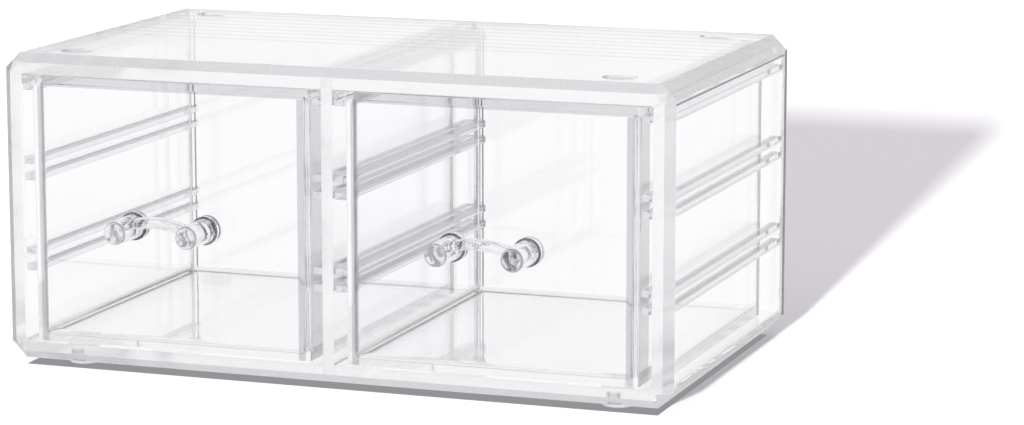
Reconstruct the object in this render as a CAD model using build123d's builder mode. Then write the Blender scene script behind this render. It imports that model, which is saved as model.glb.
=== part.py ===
"""Two-drawer makeup organizer in clear moulded plastic, built piece by piece.

A thick-walled case stands on four bumper feet. An upright divider makes two bays
of it, and a panel closes its back. Ribs run from front to back on both walls of
each bay: the top one carries the drawer by its side flanges, and the lower pairs
are the channels for shallower drawers. Each drawer is a deep tub with a rim bar
across its front, and a bridge handle whose studs go through the front into caps.

Frame: X runs from left to right, Y from front to back, Z up. The origin is the
middle of the whole footprint, handles included, on the standing surface.
"""

from build123d import *
import os

os.makedirs("parts", exist_ok=True)

# Driving dimensions, millimetres

# Case
case_width = 310.0
case_depth = 178.0
case_height = 137.6
corner_cut = 7.0
front_bevel = 4.0
rear_bevel = 1.5
side_wall = 8.7
floor_thickness = 8.2
top_thickness = 9.0
inner_corner_radius = 1.0

# Divider and back panel
divider_thickness = 5.2
divider_tongue = 4.2
back_thickness = 4.0
back_rebate = 2.5

# Feet, and the recesses in the top that take the feet of a second unit
foot_diameter = 14.0
foot_height = 3.0
foot_inset_x = 29.0
foot_inset_y = 17.5
foot_edge_radius = 0.8
foot_peg_diameter = 6.0
foot_peg_length = 3.6
foot_socket_depth = 4.0
stacking_clearance = 0.8
stacking_depth = 1.2

# Runner ribs
rib_thickness = 3.0
rib_reach = 5.2
rib_setback = 2.7
rib_tip_radius = 0.7
slot_height = 4.4
level_pitch = 40.6
level_count = 3

# Drawer tub
runner_gap = 5.9
drawer_rear_gap = 11.1
tub_side = 2.4
tub_front = 2.0
tub_rear = 2.4
tub_floor = 2.4
tub_outer_radius = 1.0
tub_inner_radius = 3.2
tub_floor_radius = 3.1
drawer_setback = 0.4
floor_clearance = 0.9
flange_thickness = 4.0
flange_clearance = 0.4
rim_bar_depth = 7.0
rim_edge_radius = 0.5

# Handle
handle_height = 54.8
post_spacing = 34.0
post_reach = 21.5
post_base_diameter = 12.6
post_base_thickness = 2.0
post_root_diameter = 11.0
post_front_diameter = 10.0
post_edge_radius = 1.0
bar_depth = 8.0
bar_setback = 1.2
bar_height = 4.2
bar_end_lift = 1.6
bar_middle_lift = 5.0
bar_edge_radius = 1.4
stud_diameter = 5.0
stud_past_wall = 2.2
stud_hole_clearance = 0.1
cap_diameter = 12.6
cap_height = 3.6
cap_rim_height = 1.2

# The cement line of each joint, and the air under a drawer's flanges
joint_gap = 0.05

# Places that follow from the sizes

front_y = (post_reach - drawer_setback - case_depth) / 2
rear_y = front_y + case_depth
case_bottom = foot_height
case_top = case_bottom + case_height
case_middle_z = (case_bottom + case_top) / 2
bay_floor = case_bottom + floor_thickness
bay_ceiling = case_top - top_thickness
bay_middle_z = (bay_floor + bay_ceiling) / 2
bay_height = bay_ceiling - bay_floor
inner_width = case_width - 2 * side_wall
bay_width = (inner_width - divider_thickness) / 2
bay_centre_x = (divider_thickness + bay_width) / 2
bay_depth = case_depth - back_thickness

rib_length = bay_depth - rib_setback
top_ledge = bay_ceiling - slot_height
rib_heights = [top_ledge - rib_thickness / 2]
for level in range(1, level_count):
    ledge = top_ledge - level * level_pitch
    rib_heights.append(ledge - rib_thickness / 2)
    rib_heights.append(ledge + slot_height + rib_thickness / 2)

foot_places = {
    "foot_front_left": (-case_width / 2 + foot_inset_x, front_y + foot_inset_y),
    "foot_front_right": (case_width / 2 - foot_inset_x, front_y + foot_inset_y),
    "foot_rear_left": (-case_width / 2 + foot_inset_x, rear_y - foot_inset_y),
    "foot_rear_right": (case_width / 2 - foot_inset_x, rear_y - foot_inset_y),
}

tub_width = bay_width - 2 * runner_gap
tub_front_y = front_y + drawer_setback
tub_rear_y = front_y + bay_depth - drawer_rear_gap
tub_depth = tub_rear_y - tub_front_y
tub_middle_y = (tub_front_y + tub_rear_y) / 2
tub_bottom = bay_floor + floor_clearance
flange_bottom = top_ledge + joint_gap
rim_top = flange_bottom + flange_thickness
flange_width = bay_width - 2 * flange_clearance

panel_reach = back_rebate - joint_gap
bore_radius = stud_diameter / 2 + stud_hole_clearance
bore_depth = stud_past_wall + joint_gap

handle_z = tub_bottom + handle_height
tub_inner_front_y = tub_front_y + tub_front
drawers = {"left_drawer": -bay_centre_x, "right_drawer": bay_centre_x}


def facing_front(y):
    """The upright plane at this y: sketch x is X, sketch y is Z, extrusion goes forward."""
    return Plane.XZ.offset(-y)


def rib_profiles(wall_x, inward):
    """Sketches the ribs of one wall, each with its tip rounded."""
    centre_x = wall_x + inward * rib_reach / 2
    with BuildSketch(facing_front(front_y + bay_depth)) as profiles:
        with Locations(*[(centre_x, z) for z in rib_heights]):
            Rectangle(rib_reach, rib_thickness)
        tips = profiles.vertices().group_by(Axis.X)[-1 if inward > 0 else 0]
        fillet(tips, rib_tip_radius)
    return profiles


def save(piece, name):
    """Labels one finished piece and writes its STEP file."""
    piece.part.label = name
    export_step(piece.part, "parts/" + name + ".step")


# Case sleeve: floor, top and side walls in one moulding

with BuildPart() as case_sleeve:
    with BuildSketch(facing_front(rear_y)) as outline:
        with Locations((0, case_middle_z)):
            Rectangle(case_width, case_height)
        chamfer(outline.vertices(), corner_cut)
    extrude(amount=case_depth)
    front_edges = case_sleeve.faces().sort_by(Axis.Y)[0].edges()
    rear_edges = case_sleeve.faces().sort_by(Axis.Y)[-1].edges()
    chamfer(front_edges, front_bevel)
    chamfer(rear_edges, rear_bevel)
    with BuildSketch(facing_front(rear_y)):
        with Locations((0, bay_middle_z)):
            RectangleRounded(inner_width, bay_height, inner_corner_radius)
    extrude(amount=case_depth, mode=Mode.SUBTRACT)
    # Rebate for the back panel
    with BuildSketch(facing_front(rear_y)):
        with Locations((0, bay_middle_z)):
            Rectangle(inner_width + 2 * back_rebate, bay_height + 2 * back_rebate)
    extrude(amount=back_thickness, mode=Mode.SUBTRACT)
    # Grooves for the divider's tongues
    groove_length = bay_depth + joint_gap
    with BuildSketch(facing_front(front_y + groove_length)):
        with Locations((0, bay_middle_z)):
            Rectangle(divider_thickness + 2 * joint_gap, bay_height + 2 * (divider_tongue + joint_gap))
    extrude(amount=groove_length, mode=Mode.SUBTRACT)
    # Runner ribs on the two side walls
    for wall_x, inward in ((-inner_width / 2, 1), (inner_width / 2, -1)):
        extrude(rib_profiles(wall_x, inward).sketch, amount=rib_length)
    # Sockets under the floor and stacking recesses in the top
    with BuildSketch(Plane.XY.offset(case_bottom)):
        with Locations(*foot_places.values()):
            Circle(foot_peg_diameter / 2 + joint_gap)
    extrude(amount=foot_socket_depth, mode=Mode.SUBTRACT)
    with BuildSketch(Plane.XY.offset(case_top)):
        with Locations(*foot_places.values()):
            Circle(foot_diameter / 2 + stacking_clearance)
    extrude(amount=-stacking_depth, mode=Mode.SUBTRACT)

save(case_sleeve, "case_sleeve")

# Divider, with a tongue in the floor and one in the top

with BuildPart() as centre_divider:
    with BuildSketch(facing_front(front_y + bay_depth)):
        with Locations((0, bay_middle_z)):
            Rectangle(divider_thickness, bay_height + 2 * divider_tongue)
    extrude(amount=bay_depth)
    for wall_x, inward in ((-divider_thickness / 2, -1), (divider_thickness / 2, 1)):
        extrude(rib_profiles(wall_x, inward).sketch, amount=rib_length)

save(centre_divider, "centre_divider")

# Back panel, let into the rebate

with BuildPart() as back_panel:
    with BuildSketch(facing_front(rear_y)):
        with Locations((0, bay_middle_z)):
            Rectangle(inner_width + 2 * panel_reach, bay_height + 2 * panel_reach)
    extrude(amount=back_thickness - joint_gap)

save(back_panel, "back_panel")

# Bumper feet, each with a peg in its socket

for foot_name, (foot_x, foot_y) in foot_places.items():
    with BuildPart() as foot:
        with BuildSketch(Plane.XY):
            with Locations((foot_x, foot_y)):
                Circle(foot_diameter / 2)
        extrude(amount=foot_height - joint_gap)
        fillet(foot.edges().sort_by(Axis.Z)[0], foot_edge_radius)
        with BuildSketch(Plane.XY.offset(foot_height - joint_gap)):
            with Locations((foot_x, foot_y)):
                Circle(foot_peg_diameter / 2)
        extrude(amount=foot_peg_length)
    save(foot, foot_name)

# Drawers

for drawer_name, centre_x in drawers.items():
    post_places = [(centre_x - post_spacing / 2, handle_z), (centre_x + post_spacing / 2, handle_z)]
    inner_width_of_tub = tub_width - 2 * tub_side
    inner_length_of_tub = tub_depth - tub_front - tub_rear
    inner_middle_y = (tub_inner_front_y + tub_rear_y - tub_rear) / 2

    with BuildPart() as tub:
        with BuildSketch(Plane.XY.offset(tub_bottom)):
            with Locations((centre_x, tub_middle_y)):
                RectangleRounded(tub_width, tub_depth, tub_outer_radius)
        extrude(amount=rim_top - tub_bottom)
        # Side flanges that hang on the top ribs
        with BuildSketch(Plane.XY.offset(flange_bottom)):
            with Locations((centre_x, tub_middle_y)):
                RectangleRounded(flange_width, tub_depth, tub_outer_radius)
        extrude(amount=flange_thickness)
        fillet(tub.faces().sort_by(Axis.Z)[-1].edges(), rim_edge_radius)
        # Inside of the tub
        with BuildSketch(Plane.XY.offset(tub_bottom + tub_floor)):
            with Locations((centre_x, inner_middle_y)):
                RectangleRounded(inner_width_of_tub, inner_length_of_tub, tub_inner_radius)
        extrude(amount=rim_top - tub_bottom - tub_floor, mode=Mode.SUBTRACT)
        inner_floor = tub.faces().filter_by(Axis.Z).group_by(Axis.Z)[1]
        fillet(inner_floor.edges(), tub_floor_radius)
        # Rim bar across the front
        with BuildSketch(Plane.XY.offset(flange_bottom)):
            with Locations((centre_x, tub_inner_front_y)):
                Rectangle(
                    tub_width - 2 * tub_side + 2 * rim_edge_radius,
                    rim_bar_depth - tub_front,
                    align=(Align.CENTER, Align.MIN),
                )
        extrude(amount=flange_thickness)
        # Holes for the handle's studs
        with BuildSketch(facing_front(tub_inner_front_y)):
            with Locations(*post_places):
                Circle(bore_radius)
        extrude(amount=tub_front, mode=Mode.SUBTRACT)
    save(tub, drawer_name + "_tub")

    with BuildPart() as handle:
        # Arched bar between the posts, its long edges rounded
        bar_plane = facing_front(tub_front_y - post_reach + bar_setback + bar_depth)
        with BuildSketch(bar_plane):
            with BuildLine():
                reach_x = post_spacing / 2
                low_end = handle_z + bar_end_lift - bar_height / 2
                low_middle = handle_z + bar_middle_lift - bar_height / 2
                lower = ThreePointArc(
                    (centre_x - reach_x, low_end),
                    (centre_x, low_middle),
                    (centre_x + reach_x, low_end),
                )
                upper = ThreePointArc(
                    (centre_x + reach_x, low_end + bar_height),
                    (centre_x, low_middle + bar_height),
                    (centre_x - reach_x, low_end + bar_height),
                )
                Line(lower @ 1, upper @ 0)
                Line(upper @ 1, lower @ 0)
            make_face()
        extrude(amount=bar_depth)
        fillet(handle.edges().filter_by(GeomType.CIRCLE), bar_edge_radius)
        # Posts, turned about their own axes
        for post_x, post_z in post_places:
            post_plane = Plane(origin=(post_x, tub_front_y, post_z), x_dir=(1, 0, 0), z_dir=(0, 0, 1))
            with BuildSketch(post_plane) as half_post:
                with BuildLine():
                    Polyline(
                        (0, tub_front + stud_past_wall),
                        (stud_diameter / 2, tub_front + stud_past_wall),
                        (stud_diameter / 2, -joint_gap),
                        (post_base_diameter / 2, -joint_gap),
                        (post_base_diameter / 2, -post_base_thickness),
                        (post_root_diameter / 2, -post_base_thickness),
                        (post_front_diameter / 2, -post_reach),
                        (0, -post_reach),
                        close=True,
                    )
                make_face()
                rounded = half_post.vertices().sort_by(Axis.Y)[0:2].sort_by(Axis.X)[-1]
                fillet(rounded, post_edge_radius)
            revolve(axis=Axis((post_x, tub_front_y, post_z), (0, 1, 0)))
    save(handle, drawer_name + "_handle")

    with BuildPart() as caps:
        for post_x, post_z in post_places:
            cap_plane = Plane(origin=(post_x, tub_inner_front_y, post_z), x_dir=(1, 0, 0), z_dir=(0, 0, 1))
            with BuildSketch(cap_plane):
                with BuildLine():
                    bore_top = Line((0, bore_depth), (bore_radius, bore_depth))
                    bore = Line(bore_top @ 1, (bore_radius, joint_gap))
                    rim = Line(bore @ 1, (cap_diameter / 2, joint_gap))
                    side = Line(rim @ 1, (cap_diameter / 2, cap_rim_height))
                    TangentArc((0, cap_height), side @ 1, tangent=(1, 0))
                    Line((0, cap_height), bore_top @ 0)
                make_face()
            revolve(axis=Axis((post_x, tub_inner_front_y, post_z), (0, 1, 0)))
    save(caps, drawer_name + "_handle_caps")
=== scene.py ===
"""Clear two-drawer organizer: finishes, stage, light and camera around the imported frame."""

import bpy
import math
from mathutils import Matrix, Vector


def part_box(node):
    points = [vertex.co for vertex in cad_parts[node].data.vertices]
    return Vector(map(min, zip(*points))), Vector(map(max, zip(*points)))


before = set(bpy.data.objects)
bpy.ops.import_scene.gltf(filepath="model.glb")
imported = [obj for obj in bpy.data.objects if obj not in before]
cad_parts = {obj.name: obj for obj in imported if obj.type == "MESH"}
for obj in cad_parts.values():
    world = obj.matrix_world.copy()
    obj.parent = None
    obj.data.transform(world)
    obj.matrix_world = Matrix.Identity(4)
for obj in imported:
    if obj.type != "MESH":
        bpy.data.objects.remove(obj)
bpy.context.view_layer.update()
scene = bpy.context.scene


# Node helpers

# A Mix node's inputs for the share and the two colours, and its output for the mixed colour
MIX_INPUTS = (0, 6, 7)
MIX_OUTPUT = 2


def new_material(name):
    """A material with one Principled shader, its tree and the shader."""
    material = bpy.data.materials.new(name)
    material.use_nodes = True
    tree = material.node_tree
    return material, tree, tree.nodes["Principled BSDF"]


def feed(tree, socket, value):
    """Links another socket to this one, or sets its own value."""
    if isinstance(value, bpy.types.NodeSocket):
        tree.links.new(value, socket)
    else:
        socket.default_value = value


def math_node(tree, operation, *values):
    """A Math node on sockets or numbers; gives back its result."""
    node = tree.nodes.new("ShaderNodeMath")
    node.operation = operation
    for socket, value in zip(node.inputs, values):
        feed(tree, socket, value)
    return node.outputs["Value"]


def colour_mix(tree, share, first, second, blend="MIX"):
    """A colour Mix node on sockets or colours; gives back its result."""
    node = tree.nodes.new("ShaderNodeMix")
    node.data_type = "RGBA"
    node.blend_type = blend
    for index, value in zip(MIX_INPUTS, (share, first, second)):
        feed(tree, node.inputs[index], value)
    return node.outputs[MIX_OUTPUT]


def level_ramp(tree, along, levels):
    """A grey level that follows a direction's reach along an axis, from -1 to 1."""
    ramp = tree.nodes.new("ShaderNodeValToRGB")
    feed(tree, ramp.inputs["Fac"], math_node(tree, "MULTIPLY_ADD", along, 0.5, 0.5))
    stops = ramp.color_ramp.elements
    stops.remove(stops[1])
    for index, (reach, level) in enumerate(levels):
        position = (reach + 1) / 2
        stop = stops.new(position) if index else stops[0]
        stop.position = position
        stop.color = (level, level, level, 1)
    return ramp.outputs["Color"]


def scaled(tree, mask, amount):
    """A mask times a number, or times another mask."""
    return math_node(tree, "MULTIPLY", mask, amount)


def inside(tree, *ranges):
    """1 where every value lies in its range; each is (value, low, high) in metres, None for no limit."""
    mask = None
    for value, low, high in ranges:
        for operation, limit in (("GREATER_THAN", low), ("LESS_THAN", high)):
            if limit is not None:
                test = math_node(tree, operation, value, limit)
                mask = test if mask is None else scaled(tree, mask, test)
    return mask


def either(tree, *masks):
    """The largest of the masks: 1 where any of them is 1."""
    total = masks[0]
    for mask in masks[1:]:
        total = math_node(tree, "MAXIMUM", total, mask)
    return total


def deepen(tree, shader, clear, zones):
    """Gives the plastic its clear colour, and each zone its own painted shade: a darker colour that stands in
    for shade and reflection.
    """
    colour = clear
    for mask, shade in zones:
        colour = colour_mix(tree, mask, colour, shade)
    feed(tree, shader.inputs["Base Color"], colour)


def object_place(tree):
    """The surface point on its own object."""
    return tree.nodes.new("ShaderNodeTexCoord").outputs["Object"]


def places(tree):
    """The x, y and z of the surface point on its own object."""
    split = tree.nodes.new("ShaderNodeSeparateXYZ")
    feed(tree, split.inputs["Vector"], object_place(tree))
    return split.outputs["X"], split.outputs["Y"], split.outputs["Z"]


def entered(tree):
    """1 where a ray meets the plastic from outside, 0 where it is inside already."""
    return math_node(tree, "SUBTRACT", 1.0, tree.nodes.new("ShaderNodeNewGeometry").outputs["Backfacing"])


# Clear plastic: what all the mouldings share

PLASTIC_IOR = 1.49
WAVE_DETAIL = 1.0
WAVE_DEPTH = 0.0002

# Zones end this far short of a face or past it, so that a face is wholly in a zone or out of it
HAIR = 0.0001

# How far the painted dark lines of shade on the case and on the tubs reach forward from the rear edge
REAR_LINE = 0.0055


def moulding_waves_group():
    """Normal of a polished moulding: long faint flow waves."""
    group = bpy.data.node_groups.new("moulding waves", "ShaderNodeTree")
    for name in ("Waves per Metre", "Wave Depth"):
        group.interface.new_socket(name, in_out="INPUT", socket_type="NodeSocketFloat")
    group.interface.new_socket("Normal", in_out="OUTPUT", socket_type="NodeSocketVector")
    entry = group.nodes.new("NodeGroupInput")
    leave = group.nodes.new("NodeGroupOutput")
    waves = group.nodes.new("ShaderNodeTexNoise")
    bump = group.nodes.new("ShaderNodeBump")
    feed(group, waves.inputs["Vector"], object_place(group))
    feed(group, waves.inputs["Scale"], entry.outputs["Waves per Metre"])
    feed(group, waves.inputs["Detail"], WAVE_DETAIL)
    feed(group, bump.inputs["Strength"], 1.0)
    feed(group, bump.inputs["Distance"], entry.outputs["Wave Depth"])
    feed(group, bump.inputs["Height"], waves.outputs["Fac"])
    feed(group, leave.inputs["Normal"], bump.outputs["Normal"])
    return group


moulding_waves = moulding_waves_group()


def clear_plastic(name, waves_per_metre, wave_depth=WAVE_DEPTH, roughness=0.0):
    """Clear plastic, polished unless a roughness is given, with the faint waves of its mould."""
    material, tree, shader = new_material(name)
    shader.inputs["Transmission Weight"].default_value = 1.0
    shader.inputs["IOR"].default_value = PLASTIC_IOR
    shader.inputs["Roughness"].default_value = roughness
    waves = tree.nodes.new("ShaderNodeGroup")
    waves.node_tree = moulding_waves
    waves.inputs["Waves per Metre"].default_value = waves_per_metre
    waves.inputs["Wave Depth"].default_value = wave_depth
    feed(tree, shader.inputs["Normal"], waves.outputs["Normal"])
    return material, tree, shader


# Case

CASE_WAVES = 9.0

# Colours: the plastic's own clear tint, then the painted shade and painted reflection of its zones
CASE_CLEAR = (0.99, 0.988, 0.995, 1)
# Painted shade: the ribs are darker in colour where they show shade and reflection, the divider's more than
# the walls'
WALL_RIB_PAINTED_SHADE = (0.66, 0.66, 0.7, 1)
DIVIDER_RIB_PAINTED_SHADE = (0.6, 0.6, 0.65, 1)
# Painted shade: dark lines on the ribs' upper and lower faces, next to the wall
RIB_LINE_PAINTED_SHADE = (0.05, 0.05, 0.06, 1)
# Painted shade: dark lines at each bay's left rear corner, where the back panel meets the wall, seen from
# outside only
JOINT_PAINTED_SHADE = (0.03, 0.03, 0.04, 1)
# Painted shade: a dark line along the rear of each side's outer face
REAR_LINE_PAINTED_SHADE = (0.01, 0.01, 0.012, 1)
# Painted shade: a dark line on each side's outer face, below the upper cut corner
SIDE_LINE_PAINTED_SHADE = (0.04, 0.04, 0.05, 1)
# Painted shade on all the front bevels
BEVEL_PAINTED_SHADE = (0.73, 0.75, 0.78, 1)
# Painted shade on the left front bevel only, which makes it darker than the right one
LEFT_BEVEL_PAINTED_SHADE = (0.3, 0.315, 0.33, 1)
# Painted shade on the lower front bevel and the lower cut corners, darker than the upper edges
LOWER_EDGE_PAINTED_SHADE = (0.54, 0.56, 0.6, 1)
# Painted reflection: faint dark lines across the top's rear part, parallel to the rear edge
PAINTED_REFLECTION_LINE = (0.7, 0.7, 0.73, 1)

# Sizes of the moulding, in metres
CORNER_CUT = 0.007
FRONT_BEVEL = 0.004
SIDE_WALL = 0.0087
HALF_DIVIDER = 0.0026
BACK_THICKNESS = 0.004
BAY_FLOOR = 0.0112
BAY_CEILING = 0.1316
RIB_REACH = 0.0052
RIB_PITCH = 0.0406
RECESS_DEPTH = 0.0012

# Height of the lowest slot's middle, and how far its ribs' inner and outer faces are from there
SLOT_MIDDLE = 0.0482
HALF_SLOT = 0.0022
HALF_PAIR = 0.0052

# Sizes of the zones of painted shade, in metres; the painted dark rib lines lie on the ribs' faces, next to
# the wall
RIB_LINE = 0.0004
RIB_ROOT = 0.0034
RIB_SHADE_START = 0.002
RIB_LINE_START = 0.016
JOINT_LINE = 0.0014
SIDE_LINE = 0.0009
SIDE_LINE_DROP = 0.0012
# Painted reflection lines on the top: their spacing, half width and reach from the rear
REFLECTION_LINE_PITCH = 0.012
HALF_REFLECTION_LINE = 0.002
REFLECTION_LINE_REACH = 0.11

# Roughness of the satin zones
FRONT_SATIN = 0.22
CORNER_SATIN = 0.25


def case_ribs(tree, across, y, z, low, high):
    """Masks of the painted shade on the side walls' ribs and on the divider's ribs, and of the painted dark
    lines along both.
    """
    wall = high[0] - SIDE_WALL
    in_bay = (
        (y, low[1] + RIB_SHADE_START, high[1] - BACK_THICKNESS - HAIR),
        (z, BAY_FLOOR + HAIR, BAY_CEILING - HAIR),
    )
    wall_ribs = inside(tree, (across, wall - RIB_REACH - HAIR, wall - HAIR), *in_bay)
    divider_ribs = inside(tree, (across, HALF_DIVIDER + HAIR, HALF_DIVIDER + RIB_REACH + HAIR), *in_bay)
    roots = either(
        tree,
        inside(tree, (across, wall - RIB_ROOT, wall - HAIR), *in_bay),
        inside(tree, (across, HALF_DIVIDER + HAIR, HALF_DIVIDER + RIB_ROOT), *in_bay),
    )
    from_slot = math_node(tree, "PINGPONG", math_node(tree, "SUBTRACT", z, SLOT_MIDDLE), RIB_PITCH / 2)
    behind_gap = (y, low[1] + RIB_LINE_START, None)
    faces = either(
        tree,
        inside(tree, (from_slot, HALF_SLOT - RIB_LINE, HALF_SLOT + RIB_LINE), behind_gap),
        inside(tree, (from_slot, HALF_PAIR - RIB_LINE, HALF_PAIR + RIB_LINE), behind_gap),
    )
    return wall_ribs, divider_ribs, scaled(tree, roots, faces)


def case_lines(tree, x, across, y, z, high):
    """Masks of the painted shade where the back panel meets the walls, of the painted dark lines at the
    sides' rear and under their tops, and of the painted reflection lines on the top.
    """
    wall = high[0] - SIDE_WALL
    back = high[1] - BACK_THICKNESS
    at_back = ((y, back - JOINT_LINE, back + HAIR), (z, BAY_FLOOR, BAY_CEILING))
    joint_shade = either(
        tree,
        inside(tree, (x, -wall - HAIR, JOINT_LINE - wall), *at_back),
        inside(tree, (x, HALF_DIVIDER - HAIR, HALF_DIVIDER + JOINT_LINE), *at_back),
    )
    on_side = (across, high[0] - HAIR, None)
    rear_lines = inside(tree, on_side, (y, high[1] - REAR_LINE, None))
    line_top = high[2] - CORNER_CUT - SIDE_LINE_DROP
    side_lines = inside(tree, on_side, (z, line_top - SIDE_LINE, line_top))
    on_top = (z, high[2] - HAIR, None)
    from_reflection_line = math_node(tree, "PINGPONG", y, REFLECTION_LINE_PITCH / 2)
    painted_reflection_lines = inside(tree, on_top, (y, high[1] - REFLECTION_LINE_REACH, None), (from_reflection_line, None, HALF_REFLECTION_LINE))
    return joint_shade, rear_lines, side_lines, painted_reflection_lines


def case_bevels(tree, x, across, y, z, low, high):
    """Masks of all the front bevels, of the lower one, and of the left one."""
    at_front = (y, low[1] + HAIR, low[1] + FRONT_BEVEL - HAIR)
    lower = inside(tree, at_front, (z, None, low[2] + FRONT_BEVEL - HAIR))
    upper = inside(tree, at_front, (z, high[2] - FRONT_BEVEL + HAIR, None))
    sides = inside(tree, at_front, (across, high[0] - FRONT_BEVEL + HAIR, None))
    left = inside(tree, at_front, (x, None, FRONT_BEVEL - HAIR - high[0]))
    return either(tree, lower, upper, sides), lower, left


def case_cuts(tree, across, z, low, high):
    """Masks of the upper and of the lower cut corners."""
    beside = (across, high[0] - CORNER_CUT + HAIR, high[0] - HAIR)
    upper = inside(tree, beside, (z, high[2] - CORNER_CUT + HAIR, high[2] - HAIR))
    lower = inside(tree, beside, (z, low[2] + HAIR, low[2] + CORNER_CUT - HAIR))
    return upper, lower


def case_plastic():
    """The case's plastic: polished flats, satin front and corners, and painted shade on the ribs, edges and
    lines.
    """
    material, tree, shader = clear_plastic("case clear plastic", CASE_WAVES)
    low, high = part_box("case_sleeve")
    x, y, z = places(tree)
    across = math_node(tree, "ABSOLUTE", x)
    wall_ribs, divider_ribs, rib_lines = case_ribs(tree, across, y, z, low, high)
    joint_shade, rear_lines, side_lines, painted_reflection_lines = case_lines(tree, x, across, y, z, high)
    bevels, lower_bevel, left_bevel = case_bevels(tree, x, across, y, z, low, high)
    upper_cuts, lower_cuts = case_cuts(tree, across, z, low, high)
    outer = entered(tree)
    # Painted shade and painted reflection, zone by zone; the plastic itself is only faintly tinted
    deepen(tree, shader, CASE_CLEAR, (
        (wall_ribs, WALL_RIB_PAINTED_SHADE),
        (divider_ribs, DIVIDER_RIB_PAINTED_SHADE),
        (rib_lines, RIB_LINE_PAINTED_SHADE),
        (scaled(tree, outer, joint_shade), JOINT_PAINTED_SHADE),
        (scaled(tree, outer, bevels), BEVEL_PAINTED_SHADE),
        (scaled(tree, outer, left_bevel), LEFT_BEVEL_PAINTED_SHADE),
        (scaled(tree, outer, either(tree, lower_bevel, lower_cuts)), LOWER_EDGE_PAINTED_SHADE),
        (scaled(tree, outer, rear_lines), REAR_LINE_PAINTED_SHADE),
        (scaled(tree, outer, side_lines), SIDE_LINE_PAINTED_SHADE),
        (scaled(tree, outer, painted_reflection_lines), PAINTED_REFLECTION_LINE),
    ))
    front = inside(tree, (y, None, low[1] + HAIR))
    lower_sides = inside(tree, (across, high[0] - HAIR, None), (z, None, BAY_FLOOR))
    recesses = inside(
        tree,
        (z, high[2] - RECESS_DEPTH - HAIR, high[2] - HAIR),
        (across, None, high[0] - CORNER_CUT),
        (y, low[1] + CORNER_CUT, high[1] - CORNER_CUT),
    )
    corners = either(tree, bevels, upper_cuts, lower_cuts, lower_sides, recesses)
    satin = either(tree, scaled(tree, front, FRONT_SATIN), scaled(tree, corners, CORNER_SATIN))
    feed(tree, shader.inputs["Roughness"], satin)
    return material


# Drawers

DRAWER_WAVES = 11.0

# Colours: the plastic's own clear tint, then the painted shade of its zones
DRAWER_CLEAR = (0.994, 0.993, 0.997, 1)
# Painted shade in the flanges at the tub's top sides
FLANGE_PAINTED_SHADE = (0.56, 0.565, 0.59, 1)
# Painted shade on the tub's outer side faces near the front, in the gaps to the case, seen from outside only
SIDE_PAINTED_SHADE = (0.46, 0.465, 0.485, 1)
# Painted shade: a dark line at the tub's rear outer corners, seen from outside only
REAR_CORNER_PAINTED_SHADE = (0.004, 0.004, 0.005, 1)
# Painted shade on the front face beside the inner corner fillets
FRONT_EDGE_PAINTED_SHADE = (0.48, 0.48, 0.51, 1)
# Painted shade on the rim bar at the top of the tub's front
RIM_PAINTED_SHADE = (0.73, 0.735, 0.755, 1)

# Sizes of the tub and of its zones of painted shade, in metres
FLANGE_REACH = 0.0055
TUB_WALL = 0.0024
TUB_FILLET = 0.0032
SIDE_EDGE_DEPTH = 0.014
RIM_HEIGHT = 0.0048
RIM_DEPTH = 0.0075
LOWER_EDGE = 0.007

# Roughness of the satin zones
SIDE_SATIN = 0.1
EDGE_SATIN = 0.15


def drawer_plastic():
    """The drawers' plastic, with painted shade in the flanges, the rim bar and the upright edges."""
    material, tree, shader = clear_plastic("drawer clear plastic", DRAWER_WAVES)
    low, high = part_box("right_drawer_tub")
    x, y, z = places(tree)
    half = (high[0] - low[0]) / 2 - FLANGE_REACH
    middle = (low[0] + high[0]) / 2
    across = math_node(tree, "ABSOLUTE", x)
    off = math_node(tree, "ABSOLUTE", math_node(tree, "SUBTRACT", across, middle))
    flanges = inside(tree, (off, half + HAIR, None))
    rim_bar = inside(tree, (z, high[2] - RIM_HEIGHT, None), (y, None, low[1] + RIM_DEPTH))
    front_edges = inside(tree, (off, half - TUB_WALL - TUB_FILLET, half - TUB_WALL), (y, None, low[1] + HAIR))
    rear_corners = inside(tree, (off, half - TUB_WALL, half + HAIR), (y, high[1] - REAR_LINE, None))
    side_fronts = inside(tree, (off, half - HAIR, half + HAIR), (y, low[1] + HAIR, low[1] + SIDE_EDGE_DEPTH))
    outer = entered(tree)
    outer_fronts = scaled(tree, outer, side_fronts)
    # Painted shade, zone by zone; the tub's plastic itself is only faintly tinted
    deepen(tree, shader, DRAWER_CLEAR, (
        (outer_fronts, SIDE_PAINTED_SHADE),
        (scaled(tree, outer, rear_corners), REAR_CORNER_PAINTED_SHADE),
        (front_edges, FRONT_EDGE_PAINTED_SHADE),
        (rim_bar, RIM_PAINTED_SHADE),
        (flanges, FLANGE_PAINTED_SHADE),
    ))
    lower_edges = inside(
        tree,
        (off, half - TUB_WALL / 2, None),
        (z, None, low[2] + LOWER_EDGE),
        (y, low[1] + HAIR, None),
    )
    satin = either(tree, scaled(tree, outer_fronts, SIDE_SATIN), scaled(tree, lower_edges, EDGE_SATIN))
    feed(tree, shader.inputs["Roughness"], satin)
    return material


# Handles

HANDLE_WAVES = 30.0
HANDLE_WAVE_DEPTH = 0.0001

# Colours: the plastic's own clear tint, then the painted shade of its rings and the painted glints
HANDLE_CLEAR = (0.95, 0.952, 0.965, 1)
# Painted shade: dark rings at the posts' front and rear ends
FRONT_RING_PAINTED_SHADE = (0.5, 0.5, 0.53, 1)
REAR_RING_PAINTED_SHADE = (0.07, 0.07, 0.08, 1)
# Painted glints: dark spots that stand in for refraction in the clear posts
GLINT_PAINTED_SHADE = (0.15, 0.15, 0.17, 1)

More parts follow.
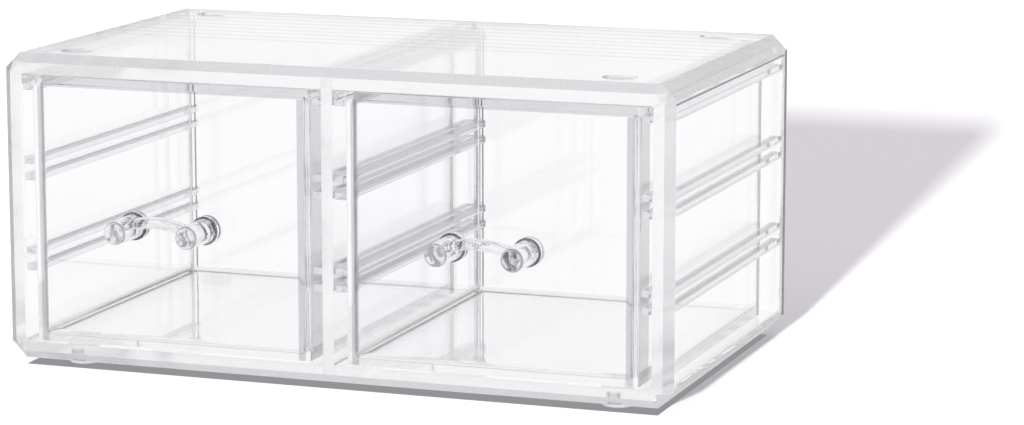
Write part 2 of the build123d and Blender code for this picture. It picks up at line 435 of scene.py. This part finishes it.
# Painted glints, dark spots that stand in for refraction in the posts: how fine their noise is, above which
# level of it they show, and how hard their edges are
GLINT_SCALE = 210.0
GLINT_LEVEL = 0.53
GLINT_EDGE = 9.0

# How far behind the posts' front ends the painted glints and the painted rear rings of shade start, and a
# ring's depth, in metres
GLINT_START = 0.011
REAR_RING_START = 0.0185
RING_DEPTH = 0.0012


def painted_glints(tree):
    """1 in the painted glints, dark spots of a fine noise, with edges that fade to 0."""
    noise = tree.nodes.new("ShaderNodeTexNoise")
    feed(tree, noise.inputs["Scale"], GLINT_SCALE)
    feed(tree, noise.inputs["Vector"], object_place(tree))
    above = math_node(tree, "SUBTRACT", noise.outputs["Fac"], GLINT_LEVEL)
    mask = scaled(tree, above, GLINT_EDGE)
    mask.node.use_clamp = True
    return mask


def handle_plastic():
    """The handles' plastic: clear, with painted glints towards the drawer and rings of painted shade at the
    posts' ends.
    """
    material, tree, shader = clear_plastic("handle clear plastic", HANDLE_WAVES, HANDLE_WAVE_DEPTH)
    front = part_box("right_drawer_handle")[0][1]
    y = places(tree)[1]
    rear_ring = front + REAR_RING_START
    # Painted glints and rings of painted shade; the handle's plastic itself is only faintly tinted
    deepen(tree, shader, HANDLE_CLEAR, (
        (scaled(tree, painted_glints(tree), inside(tree, (y, front + GLINT_START, None))), GLINT_PAINTED_SHADE),
        (inside(tree, (y, front + 2 * HAIR, front + RING_DEPTH)), FRONT_RING_PAINTED_SHADE),
        (inside(tree, (y, rear_ring, rear_ring + RING_DEPTH)), REAR_RING_PAINTED_SHADE),
    ))
    return material


# Bumper feet

BUMPER_WAVES = 60.0
BUMPER_SATIN = 0.25
BUMPER_TINT = (0.9, 0.905, 0.915, 1)


def bumper_plastic():
    """The bumper feet's soft plastic: satin all over."""
    material, _, shader = clear_plastic("bumper soft plastic", BUMPER_WAVES, roughness=BUMPER_SATIN)
    shader.inputs["Base Color"].default_value = BUMPER_TINT
    return material


case_clear = case_plastic()
drawer_clear = drawer_plastic()
handle_clear = handle_plastic()
bumper_clear = bumper_plastic()


def dress(node, material):
    """Gives a CAD node its finish."""
    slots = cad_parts[node].data.materials
    slots.clear()
    slots.append(material)


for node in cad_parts:
    if node.startswith("foot_"):
        dress(node, bumper_clear)
    elif node.endswith("_tub"):
        dress(node, drawer_clear)
    elif "_handle" in node:
        dress(node, handle_clear)
    else:
        dress(node, case_clear)


# Stage: a white floor that keeps the shadow, and a surround that the plastic bends and mirrors

FLOOR_SIZE = 30.0
FLOOR_WHITE = (0.8, 0.8, 0.8, 1)
FLOOR_GLOW = (0.3, 0.29, 0.305, 1)
FLOOR_AMBIENT = (0.46, 0.44, 0.47, 1)
WHITE = (1, 1, 1, 1)

# The surround's levels by how far a direction reaches up and sideways, from -1 to 1
HEIGHT_LEVELS = (
    (-1.0, 1.0), (-0.85, 1.0), (-0.75, 0.9), (-0.42, 0.9), (-0.36, 1.0), (0.02, 1.0),
    (0.09, 0.94), (0.35, 0.92), (0.6, 0.85), (0.75, 0.45), (1.0, 0.45),
)
SIDEWAYS_LEVELS = ((-1.0, 0.58), (-0.88, 0.58), (-0.8, 1.0), (0.8, 1.0), (0.88, 0.58), (1.0, 0.58))

# The light's height above the floor, its drift to the left, its strength and its softness
LIGHT_RISE = math.radians(11.4)
LIGHT_DRIFT = -0.05
LIGHT_STRENGTH = 10.5
LIGHT_WIDTH = math.radians(3.0)


def bent_or_mirrored(tree, path):
    """1 for a ray that a clear or glossy surface has bent or mirrored."""
    return math_node(tree, "MAXIMUM", path.outputs["Is Glossy Ray"], path.outputs["Is Transmission Ray"])


def studio_floor():
    """A wide white floor; bent and mirrored rays pass it, so the plastic shows the surround."""
    bpy.ops.mesh.primitive_plane_add(size=FLOOR_SIZE, location=(0, 0, 0))
    floor = bpy.context.object
    floor.name = "studio_floor"
    material, tree, shader = new_material("studio floor")
    shader.inputs["Base Color"].default_value = FLOOR_WHITE
    shader.inputs["Roughness"].default_value = 1.0
    shader.inputs["Specular IOR Level"].default_value = 0.0
    shader.inputs["Emission Color"].default_value = FLOOR_GLOW
    path = tree.nodes.new("ShaderNodeLightPath")
    feed(tree, shader.inputs["Emission Strength"], path.outputs["Is Camera Ray"])
    through = tree.nodes.new("ShaderNodeBsdfTransparent")
    mix = tree.nodes.new("ShaderNodeMixShader")
    feed(tree, mix.inputs["Fac"], bent_or_mirrored(tree, path))
    feed(tree, mix.inputs[1], shader.outputs["BSDF"])
    feed(tree, mix.inputs[2], through.outputs["BSDF"])
    feed(tree, tree.nodes["Material Output"].inputs["Surface"], mix.outputs["Shader"])
    floor.data.materials.append(material)
    return floor


def shade_card():
    """A card that keeps light from under the case; only the floor takes its shadow."""
    low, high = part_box("case_sleeve")
    thickness = low[2] - HAIR
    bpy.ops.mesh.primitive_cube_add(size=1.0, location=(0, (low[1] + high[1]) / 2, thickness / 2))
    card = bpy.context.object
    card.name = "shade_card"
    card.scale = (high[0] - low[0] - 2 * CORNER_CUT, high[1] - low[1] - CORNER_CUT - HAIR, thickness)
    card.visible_camera = False
    card.visible_glossy = False
    card.visible_transmission = False


def studio_surround():
    """White for the camera, pale with grey panels for bent and mirrored rays, even light for the rest."""
    world = bpy.data.worlds.new("studio surround")
    scene.world = world
    world.use_nodes = True
    tree = world.node_tree
    place = tree.nodes.new("ShaderNodeTexCoord")
    reach = tree.nodes.new("ShaderNodeSeparateXYZ")
    feed(tree, reach.inputs["Vector"], place.outputs["Generated"])
    height = level_ramp(tree, reach.outputs["Z"], HEIGHT_LEVELS)
    sideways = level_ramp(tree, reach.outputs["X"], SIDEWAYS_LEVELS)
    panels = colour_mix(tree, 1.0, height, sideways, blend="MULTIPLY")
    path = tree.nodes.new("ShaderNodeLightPath")
    lit = colour_mix(tree, bent_or_mirrored(tree, path), FLOOR_AMBIENT, panels)
    seen = colour_mix(tree, path.outputs["Is Camera Ray"], lit, WHITE)
    feed(tree, tree.nodes["Background"].inputs["Color"], seen)


def low_front_light(floor):
    """A low light from the front, on the floor alone, where the object's shadow falls behind it."""
    data = bpy.data.lights.new("low front light", "SUN")
    data.energy = LIGHT_STRENGTH
    data.angle = LIGHT_WIDTH
    holder = bpy.data.objects.new("low front light", data)
    scene.collection.objects.link(holder)
    heading = Vector((LIGHT_DRIFT * math.cos(LIGHT_RISE), math.cos(LIGHT_RISE), -math.sin(LIGHT_RISE)))
    holder.rotation_euler = heading.to_track_quat("-Z", "Y").to_euler()
    lit = bpy.data.collections.new("lit by the low front light")
    lit.objects.link(floor)
    holder.light_linking.receiver_collection = lit


studio = studio_floor()
shade_card()
studio_surround()
low_front_light(studio)


# Camera, fitted to the case's edges: lens and sensor in millimetres, the rest in metres

LENS = 122.15
SENSOR = 36.0
FARTHEST = 100.0
CAMERA_PLACE = (0.5708, -1.43285, 0.3413)
CAMERA_TURN = math.radians(19.76)
CAMERA_DIP = math.radians(10.16)


def camera():
    """A long lens, turned to the left and a little down."""
    data = bpy.data.cameras.new("camera")
    data.lens = LENS
    data.sensor_width = SENSOR
    data.clip_end = FARTHEST
    holder = bpy.data.objects.new("camera", data)
    scene.collection.objects.link(holder)
    holder.location = CAMERA_PLACE
    level = math.cos(CAMERA_DIP)
    view = Vector((-math.sin(CAMERA_TURN) * level, math.cos(CAMERA_TURN) * level, -math.sin(CAMERA_DIP)))
    holder.rotation_euler = view.to_track_quat("-Z", "Y").to_euler()
    scene.camera = holder


camera()


# Light paths: enough bounces to pass through every clear wall

BOUNCES = 80

scene.view_settings.view_transform = "Standard"
scene.cycles.max_bounces = BOUNCES
scene.cycles.transmission_bounces = BOUNCES
scene.cycles.glossy_bounces = BOUNCES
scene.cycles.caustics_reflective = False
scene.cycles.caustics_refractive = False
